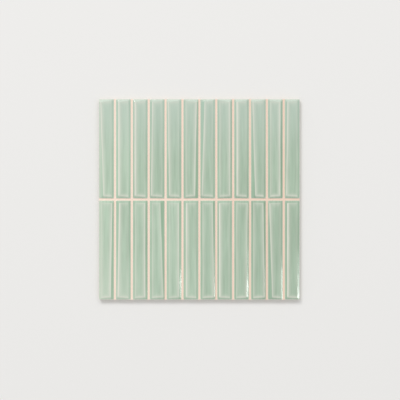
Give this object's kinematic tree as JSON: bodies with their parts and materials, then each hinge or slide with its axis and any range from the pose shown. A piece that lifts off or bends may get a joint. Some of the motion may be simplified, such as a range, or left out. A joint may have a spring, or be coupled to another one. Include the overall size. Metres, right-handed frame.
{
  "type": "mosaic wall tile sheet",
  "caption": "Square sheet of long, narrow celadon-glazed ceramic sticks with bevelled, slightly skewed faces, peach grout joints and a mesh backing.",
  "frame": {"origin": "middle of the sheet's back, on the underside of the mesh", "axes": "+X across the sticks to the right seen from the front, +Y along the sticks to the sheet's top edge, +Z out of the glazed face; stored lying on its back"},
  "size_m": [0.297, 0.297, 0.0079],
  "materials": {
    "glaze": "gloss",
    "grout": "matte",
    "mesh": "matte"
  },
  "bodies": {
    "root": {"stick_upper_01": "glaze", "stick_upper_02": "glaze", "stick_upper_03": "glaze", "stick_upper_04": "glaze", "stick_upper_05": "glaze", "stick_upper_06": "glaze", "stick_upper_07": "glaze", "stick_upper_08": "glaze", "stick_upper_09": "glaze", "stick_upper_10": "glaze", "stick_upper_11": "glaze", "stick_upper_12": "glaze", "stick_lower_01": "glaze", "stick_lower_02": "glaze", "stick_lower_03": "glaze", "stick_lower_04": "glaze", "stick_lower_05": "glaze", "stick_lower_06": "glaze", "stick_lower_07": "glaze", "stick_lower_08": "glaze", "stick_lower_09": "glaze", "stick_lower_10": "glaze", "stick_lower_11": "glaze", "stick_lower_12": "glaze", "grout_joints": "grout", "mesh_backing": "mesh"}
  },
  "joints": []
}
